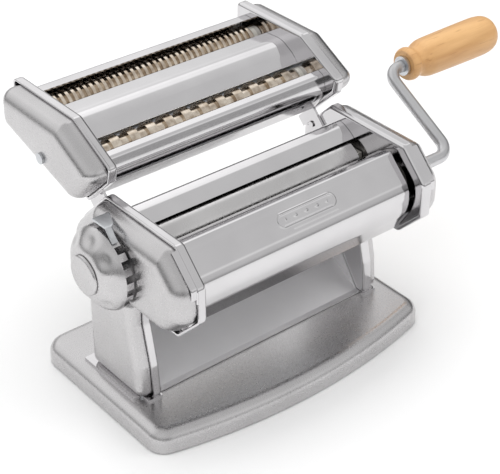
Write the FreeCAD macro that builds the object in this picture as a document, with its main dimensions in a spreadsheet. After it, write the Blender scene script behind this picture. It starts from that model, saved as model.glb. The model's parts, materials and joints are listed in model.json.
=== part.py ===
import FreeCAD, Part
import math
import os
import Sketcher
from FreeCAD import Placement, Rotation, Vector

# Manual pasta roller machine: a bowed base, two pressed side frames with domed covers, a pair of
# smooth sheet rollers whose gap is set by a notched knob, a hand crank, and a lift-off double cutter.
# Millimetres. X runs along the rollers towards the crank, Y points to the back, Z is up.
# The origin is the middle of the footprint, on the surface that the machine stands on.

SIZES = {
    # base plate
    "base_width": 212.0,
    "base_back": 68.5,
    "base_front": 68.0,
    "base_bow_radius": 394.0,
    "base_top": 15.5,
    "base_rim": 1.0,
    "base_corner": 13.0,
    "base_edge_round": 8.0,
    "base_wall": 1.2,
    "clamp_hole_radius": 4.5,
    "clamp_hole_back": 56.0,
    "foot_radius": 10.0,
    "foot_inset_side": 22.0,
    "foot_inset_end": 22.0,
    # side frames and covers
    "frame_inner": 81.0,
    "flange_depth": 6.0,
    "frame_wall": 1.2,
    "frame_corner": 4.0,
    "frame_bend": 2.4,
    "cover_inset": 1.8,
    "cover_start": 84.0,
    "cover_face": 100.0,
    "leg_cover_face": 95.5,
    "cover_round": 9.0,
    "leg_cover_round": 6.0,
    "cover_corner": 10.0,
    "leg_cover_corner": 5.0,
    "cutter_corner": 7.0,
    "cutter_round": 7.0,
    "cover_wall": 1.0,
    "toe_thick": 1.5,
    "toe_outer": 97.0,
    "toe_front": -18.0,
    "toe_tip": -25.5,
    "toe_back": 33.0,
    "body_rod_back_1": -49.5,
    "body_rod_height_1": 90.5,
    "body_rod_back_2": 12.0,
    "body_rod_height_2": 92.0,
    "body_rod_back_3": 20.0,
    "body_rod_height_3": 27.0,
    "cutter_rod_back_1": 58.0,
    "cutter_rod_height_1": 143.5,
    "cutter_rod_back_2": 59.0,
    "cutter_rod_height_2": 160.5,
    "sheet_half": 80.8,
    "sheet_wall": 0.8,
    "tie_radius": 3.0,
    "tie_end_radius": 2.5,
    "nut_radius": 4.0,
    "nut_thick": 3.0,
    # sheet rollers
    "roller_radius": 16.5,
    "roller_half": 77.5,
    "roller_height": 108.0,
    "drive_back": -39.0,
    "roller_spacing": 33.3,
    "gap_travel": 2.0,
    "drive_journal": 7.0,
    "free_journal": 5.0,
    "run_gap": 0.05,
    "bush_outer": 9.0,
    "gear_start": 86.0,
    "gear_width": 7.5,
    "gear_backlash": 0.3,
    # setting knob
    "knob_rim": 25.5,
    "knob_inner_face": -101.0,
    "hub_depth": 15.0,
    "knob_notches": 18.0,
    "notch_depth": 4.5,
    "notch_width": 4.6,
    "knob_shaft_radius": 4.0,
    # crank and grip
    "rod_radius": 4.0,
    "crank_plane": 137.0,
    "crank_reach": 68.0,
    "crank_bend": 10.0,
    "crank_angle": 29.4,
    "socket_floor": 74.0,
    "grip_pin_radius": 3.0,
    "grip_start": 152.0,
    "grip_end": 231.0,
    # cutter head
    "fine_back": 89.0,
    "fine_height": 157.5,
    "wide_back": 43.4,
    "wide_height": 146.6,
    "fine_radius": 9.0,
    "fine_core": 7.0,
    "wide_radius": 7.6,
    "wide_core": 5.8,
    "fine_spacing": 16.28,
    "wide_spacing": 13.7,
    "pair_angle": 10.0,
    "fine_pitch": 4.3,
    "fine_ring": 2.0,
    "wide_pitch": 13.0,
    "wide_ring": 6.3,
    "cutter_half": 77.5,
    "cutter_journal": 4.5,
    "cutter_bush": 6.6,
    "cover_screw_back": 59.0,
    "cover_screw_height": 147.4,
    "pointer_shelf": 137.3,
    "driven_journal": 5.4,
    "cutter_gear_start": 84.5,
    "cutter_gear_width": 6.5,
    "socket_radius": 4.1,
}

# Closed outlines in the side view, as (back, height) corners.
FRAME_OUTLINE = [
    (-52.5, 139.0), (-71.5, 120.0), (-71.5, 98.0), (-51.5, 78.0), (-18.0, 78.0), (-18.0, 66.0),
    (-24.0, 39.0), (-25.5, 20.0), (-25.5, 15.5), (30.0, 15.5), (30.0, 91.0), (37.0, 98.0),
    (37.0, 115.0), (13.0, 139.0),
]
BODY_OUTLINE = [
    (-52.5, 139.0), (-71.5, 120.0), (-71.5, 99.0), (-54.7, 82.2), (20.2, 82.2), (37.0, 99.0),
    (37.0, 115.0), (13.0, 139.0),
]
LEG_OUTLINE = [
    (-18.0, 85.3), (-18.0, 66.0), (-24.0, 39.0), (-25.5, 20.0), (-25.5, 15.3), (30.0, 15.3),
    (30.0, 85.3),
]
CUTTER_OUTLINE = [
    (42.0, 176.5), (7.5, 158.5), (9.5, 148.5), (31.5, 127.0), (106.0, 148.8), (106.0, 176.5),
]

# Bent sheets in the side view, as open (back, height) paths along the outer face.
FRONT_COVER_PATH = [
    (-31.0, 126.0), (-34.5, 128.8), (-39.5, 131.5), (-45.0, 132.8), (-48.5, 129.0), (-59.6, 118.3),
    (-62.2, 113.5), (-62.8, 106.0), (-60.2, 97.0), (-51.0, 81.5),
]
REAR_COVER_PATH = [
    (-10.0, 126.0), (-6.5, 128.8), (-1.5, 131.5), (4.0, 132.8), (7.5, 129.0), (23.0, 113.8),
    (26.0, 109.0), (26.6, 104.0), (23.0, 95.0), (13.0, 82.5),
]
CHUTE_PATH = [(-22.0, 16.6), (-18.6, 17.2), (4.0, 31.2), (24.5, 43.6)]
FRONT_SCRAPER_PATH = [(-35.0, 90.6), (-42.5, 84.8), (-47.5, 84.8)]
REAR_SCRAPER_PATH = [(-9.3, 90.6), (-2.0, 84.8), (4.0, 84.8)]
CUTTER_REAR_PATH = [(90.0, 170.4), (97.5, 170.4), (101.0, 166.5), (101.0, 152.0)]
CUTTER_MID_PATH = [(74.5, 166.0), (62.0, 166.8), (57.5, 165.6), (49.0, 161.2), (44.6, 156.4)]
CUTTER_FRONT_PATH = [(24.6, 159.0), (20.0, 157.4), (17.6, 150.0), (18.4, 143.2), (23.0, 136.4)]
CUTTER_LIP_PATH = [(20.7, 139.8), (23.0, 136.4), (27.4, 131.4)]

doc = FreeCAD.newDocument("pasta_roller_machine")
nodes = []
pages = []


class Size:
    """A number together with the spreadsheet expression that gives it."""

    def __init__(self, value, text):
        self.value = float(value)
        self.text = text

    def __add__(self, other):
        return Size(self.value + number(other), f"({self.text} + {text_of(other)})")

    def __radd__(self, other):
        return self + other

    def __sub__(self, other):
        return Size(self.value - number(other), f"({self.text} - {text_of(other)})")

    def __rsub__(self, other):
        return Size(number(other) - self.value, f"({text_of(other)} - {self.text})")

    def __mul__(self, other):
        return Size(self.value * number(other), f"({self.text} * {text_of(other)})")

    def __rmul__(self, other):
        return self * other

    def __truediv__(self, other):
        return Size(self.value / number(other), f"({self.text} / {text_of(other)})")

    def __neg__(self):
        return Size(-self.value, f"(-1 * {self.text})")


def number(value):
    """Plain number of a Size or a number."""
    return value.value if isinstance(value, Size) else float(value)


def text_of(value):
    """Expression text of a Size or a number."""
    return value.text if isinstance(value, Size) else repr(float(value))


class Page:
    """A spreadsheet of plain numbers, each with an alias."""

    def __init__(self, name):
        self.sheet = doc.addObject("Spreadsheet::Sheet", name)
        self.count = 0

    def add(self, alias, value):
        """Puts a number in the next row and returns it as a Size."""
        self.count += 1
        self.sheet.set(f"A{self.count}", alias)
        self.sheet.set(f"B{self.count}", str(float(value)))
        self.sheet.setAlias(f"B{self.count}", alias)
        return Size(value, f"{self.sheet.Name}.{alias}")


def cell(alias, value):
    """A number of the piece in hand, kept in that piece's own sheet of corners and small sizes."""
    if not pages:
        pages.append(Page(f"Sizes_{len(nodes) + 1}"))
    return pages[0].add(f"{alias}_{pages[0].count}", value)


def size(alias):
    """A driving dimension by its alias in the main sheet."""
    return Size(SIZES[alias], f"Sizes.{alias}")


def bind(obj, prop, value):
    """Ties a property to the sheet."""
    obj.setExpression(prop, text_of(value))


def tied(value, alias):
    """The value itself if it already follows the sheet, otherwise a new cell that holds it."""
    return value if isinstance(value, Size) else cell(alias, value)


def keep(obj, node):
    """Registers a finished piece under its node name."""
    obj.Label = node
    nodes.append(obj)
    pages.clear()
    return obj


def tie_point(sketch, geometry, vertex, point):
    """Fixes one sketch vertex at a point that follows the sheet."""
    for kind, coordinate in (("DistanceX", point[0]), ("DistanceY", point[1])):
        rule = Sketcher.Constraint(kind, -1, 1, geometry, vertex, number(coordinate))
        index = sketch.addConstraint(rule)
        sketch.setExpression(f"Constraints[{index}]", text_of(coordinate))


def draw_lines(sketch, points, name, closed=True):
    """Straight lines through the points, joined end to end, every corner tied to the sheet."""
    corners = [
        (tied(point[0], f"{name}_across_{index}"), tied(point[1], f"{name}_up_{index}"))
        for index, point in enumerate(points, 1)
    ]
    first = sketch.GeometryCount
    ends = corners[1:] + corners[:1] if closed else corners[1:]
    for start, end in zip(corners, ends):
        line = Part.LineSegment(
            Vector(number(start[0]), number(start[1]), 0), Vector(number(end[0]), number(end[1]), 0)
        )
        sketch.addGeometry(line, False)
    last = sketch.GeometryCount
    for index in range(first, last - 1):
        sketch.addConstraint(Sketcher.Constraint("Coincident", index, 2, index + 1, 1))
    if closed:
        sketch.addConstraint(Sketcher.Constraint("Coincident", last - 1, 2, first, 1))
    for index in range(first, last):
        tie_point(sketch, index, 1, corners[index - first])
    if not closed:
        tie_point(sketch, last - 1, 2, corners[-1])


def draw_circle(sketch, centre, radius):
    """A circle whose centre and radius follow the sheet."""
    circle = Part.Circle(Vector(number(centre[0]), number(centre[1]), 0), Vector(0, 0, 1), number(radius))
    index = sketch.addGeometry(circle, False)
    tie_point(sketch, index, 3, centre)
    rule = sketch.addConstraint(Sketcher.Constraint("Radius", index, number(radius)))
    sketch.setExpression(f"Constraints[{rule}]", text_of(radius))


def new_body(name):
    """An empty PartDesign body."""
    return doc.addObject("PartDesign::Body", name)


def body_sketch(body, role, offset=0.0):
    """A sketch on one of the body's own origin planes, shifted along the plane's normal."""
    plane = next(item for item in body.Origin.OriginFeatures if item.Role == role)
    sketch = body.newObject("Sketcher::SketchObject", f"{body.Name}_sketch")
    sketch.AttachmentSupport = [(plane, "")]
    sketch.MapMode = "FlatFace"
    bind(sketch, "AttachmentOffset.Base.z", offset)
    return sketch


def pad(body, sketch, length, backwards=False):
    """Extrudes a sketch, along its normal or against it."""
    feature = body.newObject("PartDesign::Pad", f"{body.Name}_pad")
    feature.Profile = sketch
    bind(feature, "Length", length)
    feature.Reversed = backwards
    doc.recompute()
    return feature


def pocket(body, sketch, length, backwards=False):
    """Cuts a sketch into the body and checks that it removed something."""
    before = body.Shape.Volume
    feature = body.newObject("PartDesign::Pocket", f"{body.Name}_pocket")
    feature.Profile = sketch
    bind(feature, "Length", length)
    feature.Reversed = backwards
    doc.recompute()
    if feature.Shape.Volume > before - 0.01:
        raise RuntimeError(f"{feature.Name} cuts nothing")
    return feature


def names_of(items, kind, test):
    """Names of the faces or edges that pass a test."""
    return [f"{kind}{index}" for index, item in enumerate(items, 1) if test(item)]


def round_edges(body, base, radius, test):
    """A fillet on the edges that pass a test."""
    feature = body.newObject("PartDesign::Fillet", f"{body.Name}_fillet")
    feature.Base = (base, names_of(base.Shape.Edges, "Edge", test))
    bind(feature, "Radius", radius)
    doc.recompute()
    return feature


def shell(body, base, wall, test):
    """Hollows the body to a wall, open at the faces that pass a test."""
    feature = body.newObject("PartDesign::Thickness", f"{body.Name}_shell")
    feature.Base = (base, names_of(base.Shape.Faces, "Face", test))
    feature.Reversed = True
    bind(feature, "Value", wall)
    doc.recompute()
    return feature


def runs_along(axis):
    """Test for a straight edge that runs along one axis."""
    def test(edge):
        step = edge.Vertexes[-1].Point - edge.Vertexes[0].Point
        return step.Length > 0.5 and abs(abs(getattr(step, axis)) - step.Length) < 1e-6
    return test


def lies_at_side(across):
    """Test for an edge in the upright plane that stands this far from the middle."""
    plane = number(across)

    def test(edge):
        box = edge.BoundBox
        return abs(abs(box.XMin) - plane) < 0.01 and abs(abs(box.XMax) - plane) < 0.01
    return test


def turned(name, stations, back=0.0, height=0.0):
    """A piece turned about an axis along X, from (x, radius) stations in order round the half section."""
    body = new_body(name)
    sketch = body_sketch(body, "XY_Plane")
    draw_lines(sketch, stations, name)
    feature = body.newObject("PartDesign::Revolution", f"{name}_turn")
    feature.Profile = sketch
    feature.ReferenceAxis = (sketch, ["H_Axis"])
    feature.Angle = 360
    bind(body, "Placement.Base.y", back)
    bind(body, "Placement.Base.z", height)
    doc.recompute()
    return body


def ring(name, start, end, inner, outer, back, height):
    """A plain turned ring."""
    stations = [(start, inner), (end, inner), (end, outer), (start, outer)]
    return turned(name, stations, back, height)


def side_sketch(name, points, closed=True):
    """A sketch in the side view, outside any body."""
    sketch = doc.addObject("Sketcher::SketchObject", f"{name}_path")
    draw_lines(sketch, points, name, closed)
    upright = Rotation(Vector(0, 1, 0), Vector(0, 0, 1), Vector(1, 0, 0), "ZXY")
    sketch.Placement = Placement(Vector(0, 0, 0), upright)
    return sketch


def extruded(name, base, start, length, sign=1):
    """Extrudes a side-view face along X from a start."""
    feature = doc.addObject("Part::Extrusion", f"{name}_run")
    feature.Base = base
    feature.DirMode = "Custom"
    feature.Dir = Vector(sign, 0, 0)
    feature.Solid = True
    bind(feature, "LengthFwd", length)
    bind(feature, "Placement.Base.x", sign * start)
    return feature


def bent_sheet(name, path, wall, half):
    """A sheet bent along a path, running across the machine. The wall's sign sets the side it lies on."""
    section = doc.addObject("Part::Offset2D", f"{name}_section")
    section.Source = side_sketch(name, path, closed=False)
    section.Mode = "Skin"
    section.Join = "Intersection"
    section.Fill = True
    bind(section, "Value", wall)
    doc.recompute()
    feature = extruded(name, section, -half, half * 2)
    doc.recompute()
    return feature


def joined(name, pieces):
    """Pieces fused into one solid."""
    feature = doc.addObject("Part::MultiFuse", f"{name}_join")
    feature.Shapes = pieces
    feature.Refine = True
    doc.recompute()
    return feature


def group(name, pieces):
    """Identical separate pieces kept together."""
    feature = doc.addObject("Part::Compound", f"{name}_set")
    feature.Links = pieces
    doc.recompute()
    return feature


def cut(name, base, tools):
    """A solid with the tools taken away."""
    tool = tools[0] if len(tools) == 1 else group(f"{name}_tools", tools)
    before = base.Shape.Volume
    feature = doc.addObject("Part::Cut", f"{name}_cut")
    feature.Base = base
    feature.Tool = tool
    doc.recompute()
    if feature.Shape.Volume > before - 0.01:
        raise RuntimeError(f"{feature.Name} cuts nothing")
    return feature


def rod(name, start, length, radius, back, height):
    """A cylinder along X."""
    feature = doc.addObject("Part::Cylinder", name)
    bind(feature, "Radius", radius)
    bind(feature, "Height", length)
    feature.Placement = Placement(Vector(0, 0, 0), Rotation(Vector(0, 1, 0), 90))
    bind(feature, "Placement.Base.x", start)
    bind(feature, "Placement.Base.y", back)
    bind(feature, "Placement.Base.z", height)
    return feature


def post(name, across, back, start, length, radius):
    """A cylinder along Z."""
    feature = doc.addObject("Part::Cylinder", name)
    bind(feature, "Radius", radius)
    bind(feature, "Height", length)
    bind(feature, "Placement.Base.x", across)
    bind(feature, "Placement.Base.y", back)
    bind(feature, "Placement.Base.z", start)
    return feature


def block(name, low, high):
    """A box between two corners."""
    feature = doc.addObject("Part::Box", name)
    for prop, axis, place in (("Length", 0, "x"), ("Width", 1, "y"), ("Height", 2, "z")):
        bind(feature, prop, high[axis] - low[axis])
        bind(feature, f"Placement.Base.{place}", low[axis])
    return feature


def mirrored_pair(low, high, sign):
    """The X limits of a span on the right side or its mirror on the left."""
    return (low, high) if sign > 0 else (-high, -low)


def involute_gear(name, teeth, spacing, start, width, bore, centre, phase):
    """A spur gear: involute flanks at 25 degrees, thinned for backlash, one tooth centred on the phase."""
    pitch = number(spacing) / 2
    module = 2 * pitch / teeth
    pressure = math.radians(25)
    base = pitch * math.cos(pressure)
    tip = pitch + 0.85 * module
    root = pitch - 1.15 * module
    half_tooth = math.pi / (2 * teeth) - number(size("gear_backlash")) / (2 * pitch)
    roll_at_pitch = math.tan(pressure) - pressure
    flank = []
    steps = 5
    for index in range(steps + 1):
        radius = max(base, root) + (tip - max(base, root)) * index / steps
        angle = math.acos(min(1.0, base / radius))
        flank.append((radius, half_tooth + roll_at_pitch - (math.tan(angle) - angle)))
    if root < base:
        flank.insert(0, (root, flank[0][1]))
    points = []
    for tooth in range(teeth):
        middle = phase + 2 * math.pi * tooth / teeth
        points += [(radius, middle - angle) for radius, angle in flank]
        points += [(radius, middle + angle) for radius, angle in reversed(flank)]
    back, height = number(centre[0]), number(centre[1])
    corners = [
        Vector(number(start), back + radius * math.cos(angle), height + radius * math.sin(angle))
        for radius, angle in points
    ]
    wheel = Part.Face(Part.makePolygon(corners + corners[:1])).extrude(Vector(number(width), 0, 0))
    hole = Part.makeCylinder(
        number(bore), number(width), Vector(number(start), back, height), Vector(1, 0, 0)
    )
    feature = doc.addObject("Part::Feature", f"{name}_gear")
    feature.Shape = wheel.cut(hole)
    return feature


# ---------------------------------------------------------------- base

def base_block(name, inset, low, high):
    """The base's outline, with a bowed front, extruded between two heights and rounded along its top."""
    body = new_body(name)
    sketch = body_sketch(body, "XY_Plane", low)
    half = size("base_width") / 2 - inset
    back = size("base_back") - inset
    radius = size("base_bow_radius") - inset
    middle = size("base_bow_radius") - size("base_front")
    side_end = number(middle) - math.sqrt(number(radius) ** 2 - number(half) ** 2)
    left = math.atan2(side_end - number(middle), -number(half))
    right = math.atan2(side_end - number(middle), number(half))
    circle = Part.Circle(Vector(0, number(middle), 0), Vector(0, 0, 1), number(radius))
    sketch.addGeometry([
        Part.LineSegment(Vector(-number(half), number(back), 0), Vector(-number(half), side_end, 0)),
        Part.ArcOfCircle(circle, left, right),
        Part.LineSegment(Vector(number(half), side_end, 0), Vector(number(half), number(back), 0)),
        Part.LineSegment(Vector(number(half), number(back), 0), Vector(-number(half), number(back), 0)),
    ], False)
    for line in range(4):
        sketch.addConstraint(Sketcher.Constraint("Coincident", line, 2, (line + 1) % 4, 1))
    tie_point(sketch, 0, 1, (-half, back))
    tie_point(sketch, 2, 2, (half, back))
    sketch.addConstraint(Sketcher.Constraint("Vertical", 0))
    sketch.addConstraint(Sketcher.Constraint("Vertical", 2))
    tie_point(sketch, 1, 3, (cell("bow_across", 0.0), middle))
    rule = sketch.addConstraint(Sketcher.Constraint("Radius", 1, number(radius)))
    sketch.setExpression(f"Constraints[{rule}]", text_of(radius))
    block_up = pad(body, sketch, high - low)
    cornered = round_edges(body, block_up, size("base_corner") - inset, runs_along("z"))
    top = number(high)
    round_edges(body, cornered, size("base_edge_round") - inset, lambda edge: edge.BoundBox.ZMin > top - 0.01)
    return body


def make_base_plate():
    """Pressed plate, open underneath, with a clamp hole behind and holes for the frame screws."""
    wall = size("base_wall")
    rim = size("base_rim")
    top = size("base_top")
    outside = base_block("base_outside", Size(0.0, "0.0"), rim, top)
    hollow = base_block("base_hollow", wall, rim - 1.0, top - wall)
    holes = [post("clamp_hole", 0.0, size("clamp_hole_back"), rim, top, size("clamp_hole_radius"))]
    holes += [
        post(f"base_hole_{index}", across, back, rim, top, 2.1)
        for index, (across, back) in enumerate(toe_screw_places())
    ]
    doc.recompute()
    keep(cut("base_plate", outside, [hollow] + holes), "base_plate")


def toe_screw_places():
    """The four screws that hold the side frames to the base."""
    across = size("frame_inner") + 9.0
    backs = (size("toe_front"), size("toe_back") - 8.0)
    return [(sign * across, back) for sign in (-1, 1) for back in backs]


def make_feet():
    """Four rubber feet pressed up inside the base."""
    across = size("base_width") / 2 - size("foot_inset_side")
    top = size("base_top") - size("base_wall")
    front = -size("base_front") + size("foot_inset_end") + 12.0
    rear = size("base_back") - size("foot_inset_end")
    feet = []
    for sign in (-1, 1):
        for back in (front, rear):
            feet.append(post(f"foot_{len(feet)}", sign * across, back, 0.0, top, size("foot_radius")))
    doc.recompute()
    keep(group("rubber_feet", feet), "rubber_feet")


# ---------------------------------------------------------------- side frames

def side_frame(side, sign):
    """Pressed side frame: body and leg in one, flanged outwards all round, with a toe on the base."""
    name = f"{side}_side_frame"
    body = new_body(f"{side}_pressing")
    sketch = body_sketch(body, "YZ_Plane", sign * size("frame_inner"))
    draw_lines(sketch, FRAME_OUTLINE, name)
    tray = pad(body, sketch, size("flange_depth"), backwards=sign < 0)
    cornered = round_edges(body, tray, size("frame_corner"), runs_along("x"))
    bent = round_edges(body, cornered, size("frame_bend"), lies_at_side(size("frame_inner")))
    rim = number(size("frame_inner") + size("flange_depth"))
    shell(body, bent, size("frame_wall"), lambda face: abs(abs(face.CenterOfMass.x) - rim) < 1e-3)
    holes = body_sketch(body, "YZ_Plane", sign * (size("frame_inner") - 1.0))
    draw_circle(holes, (size("drive_back"), size("roller_height")), size("bush_outer"))
    for place in rod_places("body", 3):
        draw_circle(holes, place, size("tie_end_radius") + 0.1)
    pocket(body, holes, size("frame_wall") + 2.0, backwards=sign > 0)
    window = body_sketch(body, "YZ_Plane", sign * (size("frame_inner") - 1.0))
    draw_lines(window, slider_outline(size("run_gap"), 0.3), f"{name}_window")
    pocket(body, window, size("frame_wall") + 2.0, backwards=sign > 0)
    low, high = mirrored_pair(size("frame_inner"), size("toe_outer"), sign)
    toe_low = (low, size("toe_front"), size("base_top"))
    toe_high = (high, size("toe_back"), size("base_top") + size("toe_thick"))
    toe = block(f"{name}_toe", toe_low, toe_high)
    nose_low, nose_high = mirrored_pair(size("frame_inner"), size("toe_outer") - 6.0, sign)
    nose = block(f"{name}_toe_nose", (nose_low, size("toe_tip"), size("base_top")),
                 (nose_high, size("toe_front"), size("base_top") + size("toe_thick")))
    doc.recompute()
    whole = joined(name, [body, toe, nose])
    screws = [
        post(f"{name}_screw_hole_{index}", across, back, size("base_top") - 1.0, 5.0, 2.1)
        for index, (across, back) in enumerate(toe_screw_places())
        if number(across) * sign > 0
    ]
    doc.recompute()
    keep(cut(name, whole, screws), name)


def slider_outline(rise, play):
    """Outline of the sliding bearing block, grown for its window in the side frame."""
    middle = size("drive_back") + size("roller_spacing")
    half = size("bush_outer")
    front = middle - half - play
    travel = size("gap_travel") if number(play) > 0 else Size(0.0, "0.0")
    back = middle + half + travel + play
    low = size("roller_height") - half - rise
    high = size("roller_height") + half + rise
    return [(front, low), (back, low), (back, high), (front, high)]


def domed_cover(name, outline, sign, face, inset, corner, edge_round, holes):
    """Deep-drawn cover: the outline set in from the frame's flange, rounded and hollow, open inboard."""
    shrunk = doc.addObject("Part::Offset2D", f"{name}_inset")
    shrunk.Source = side_sketch(name, outline)
    shrunk.Join = "Intersection"
    bind(shrunk, "Value", -inset)
    doc.recompute()
    run = extruded(name, shrunk, size("cover_start"), face - size("cover_start"), sign)
    doc.recompute()
    cornered = doc.addObject("Part::Fillet", f"{name}_corners")
    cornered.Base = run
    along = runs_along("x")
    cornered.Edges = [
        (index, number(corner), number(corner))
        for index, edge in enumerate(run.Shape.Edges, 1) if along(edge)
    ]
    doc.recompute()
    domed = doc.addObject("Part::Fillet", f"{name}_dome")
    domed.Base = cornered
    at_face = lies_at_side(face)
    domed.Edges = [
        (index, number(edge_round), number(edge_round))
        for index, edge in enumerate(cornered.Shape.Edges, 1) if at_face(edge)
    ]
    doc.recompute()
    hollow = doc.addObject("Part::Thickness", f"{name}_shell")
    start = SIZES["cover_start"]
    open_face = names_of(domed.Shape.Faces, "Face", lambda item: abs(abs(item.CenterOfMass.x) - start) < 1e-3)
    hollow.Faces = (domed, open_face)
    bind(hollow, "Value", -size("cover_wall"))
    doc.recompute()
    if not holes:
        return keep(hollow, name)
    low, high = mirrored_pair(face - 8.0, face + 2.0, sign)
    tools = [
        rod(f"{name}_hole_{index}", low, high - low, radius, back, height)
        for index, (back, height, radius) in enumerate(holes)
    ]
    doc.recompute()
    return keep(cut(name, hollow, tools), name)


def make_frames_and_covers():
    """Both side frames with their upper and lower covers."""
    free_back = size("drive_back") + size("roller_spacing")
    end_holes = {
        "left": [
            (free_back, size("roller_height"), 6.5),
            (free_back, size("roller_height") + pin_radius_at(), 1.8),
        ],
        "right": [(size("drive_back"), size("roller_height"), size("drive_journal") + 0.5)],
    }
    for side, sign in (("left", -1), ("right", 1)):
        side_frame(side, sign)
        domed_cover(f"{side}_end_cover", BODY_OUTLINE, sign, size("cover_face"), size("cover_inset"),
                    size("cover_corner"), size("cover_round"), end_holes[side])
        domed_cover(f"{side}_leg_cover", LEG_OUTLINE, sign, size("leg_cover_face"), size("cover_inset"),
                    size("leg_cover_corner"), size("leg_cover_round"), [])


def pin_radius_at():
    """How far the index pin stands from the knob's axis."""
    return size("knob_rim") - 1.2


def make_body_sheets():
    """Mirror-finished covers, the sloping chute and the two scrapers."""
    half = size("sheet_half")
    wall = size("sheet_wall")
    keep(bent_sheet("front_cover", FRONT_COVER_PATH, -wall, half), "front_cover")
    keep(bent_sheet("rear_cover", REAR_COVER_PATH, wall, half), "rear_cover")
    keep(bent_sheet("front_scraper", FRONT_SCRAPER_PATH, -wall * 0.75, half), "front_scraper")
    keep(bent_sheet("rear_scraper", REAR_SCRAPER_PATH, wall * 0.75, half), "rear_scraper")
    panel = bent_sheet("chute_panel", CHUTE_PATH, wall, half)
    ends = []
    for side, sign in (("left", -1), ("right", 1)):
        tab = new_body(f"chute_{side}_tab")
        sketch = body_sketch(tab, "YZ_Plane", sign * half)
        draw_lines(sketch, [(-18.6, 16.9), (4.0, 30.9), (-3.6, 37.8)], f"chute_{side}_tab")
        pad(tab, sketch, wall, backwards=sign > 0)
        ends.append(tab)
    keep(joined("chute_panel", [panel] + ends), "chute_panel")


def rod_places(prefix, count):
    """Axes of the tie rods, as (back, height)."""
    numbers = range(1, count + 1)
    return [(size(f"{prefix}_rod_back_{index}"), size(f"{prefix}_rod_height_{index}")) for index in numbers]


def tie_rod(name, back, height):
    """A round rod between the side frames with a thinner end through each."""
    inner = size("frame_inner")
    end = size("frame_inner") + size("frame_wall") + size("nut_thick")
    thick = size("tie_radius")
    thin = size("tie_end_radius")
    stations = [(-end, 0.0), (end, 0.0), (end, thin), (inner, thin), (inner, thick), (-inner, thick),
                (-inner, thin), (-end, thin)]
    return turned(name, stations, back, height)


def tie_nut(name, sign, back, height):
    """A hexagon nut on a tie rod's end, outside the side frame."""
    prism = doc.addObject("Part::Prism", f"{name}_prism")
    prism.Polygon = 6
    bind(prism, "Circumradius", size("nut_radius"))
    bind(prism, "Height", size("nut_thick"))
    prism.Placement = Placement(Vector(0, 0, 0), Rotation(Vector(0, 1, 0), 90))
    low, high = mirrored_pair(size("frame_inner") + size("frame_wall"),
                              size("frame_inner") + size("frame_wall") + size("nut_thick"), sign)
    bind(prism, "Placement.Base.x", low)
    bind(prism, "Placement.Base.y", back)
    bind(prism, "Placement.Base.z", height)
    bore = rod(f"{name}_bore", low - 1.0, high - low + 2.0, size("tie_end_radius"), back, height)
    doc.recompute()
    return cut(name, prism, [bore])


def make_tie_rods(prefix, count):
    """A set of tie rods and its nuts."""
    rods = []
    nuts = []
    for index, (back, height) in enumerate(rod_places(prefix, count), 1):
        rods.append(tie_rod(f"{prefix}_rod_{index}", back, height))
        for side, sign in (("left", -1), ("right", 1)):
            nuts.append(tie_nut(f"{prefix}_{side}_nut_{index}", sign, back, height))
    keep(group(f"{prefix}_tie_rods", rods), f"{prefix}_tie_rods")
    keep(group(f"{prefix}_tie_rod_nuts", nuts), f"{prefix}_tie_rod_nuts")


def make_screws():
    """Screws driven up through the base into the toes of the side frames."""
    under = size("base_top") - size("base_wall")
    top = size("base_top") + size("toe_thick")
    screws = []
    for index, (across, back) in enumerate(toe_screw_places()):
        head = post(f"toe_screw_head_{index}", across, back, under - 1.8, 1.8, 3.6)
        shank = post(f"toe_screw_shank_{index}", across, back, under, top - under, 2.0)
        doc.recompute()
        screws.append(joined(f"toe_screw_{index}", [head, shank]))
    keep(group("base_screws", screws), "base_screws")


# ---------------------------------------------------------------- sheet rollers

def make_drive_roller():
    """Front roller with the crank socket in its right journal, its bushes and its gear."""
    half = size("roller_half")
    radius = size("roller_radius")
    journal = size("drive_journal")
    left_end = size("frame_inner") + 3.5
    right_end = size("cover_face") - 1.5
    floor = size("socket_floor")
    bore = size("socket_radius")
    back = size("drive_back")
    height = size("roller_height")
    stations = [(-left_end, 0.0), (floor, 0.0), (floor, bore), (right_end, bore), (right_end, journal),
                (half, journal), (half, radius), (-half, radius), (-half, journal), (-left_end, journal)]
    keep(turned("drive_roller", stations, back, height), "drive_roller")
    inner = journal + size("run_gap")
    outer = size("bush_outer")
    bushes = []
    for side, sign in (("left", -1), ("right", 1)):
        low, high = mirrored_pair(half + 0.6, size("frame_inner") + 3.0, sign)
        bushes.append(ring(f"drive_bush_{side}", low, high, inner, outer, back, height))
    keep(group("drive_bushes", bushes), "drive_bushes")
    gear = involute_gear("drive", 18, size("roller_spacing"), size("gear_start"), size("gear_width"),
                         journal, (back, height), 0.0)
    keep(gear, "drive_gear")


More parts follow.
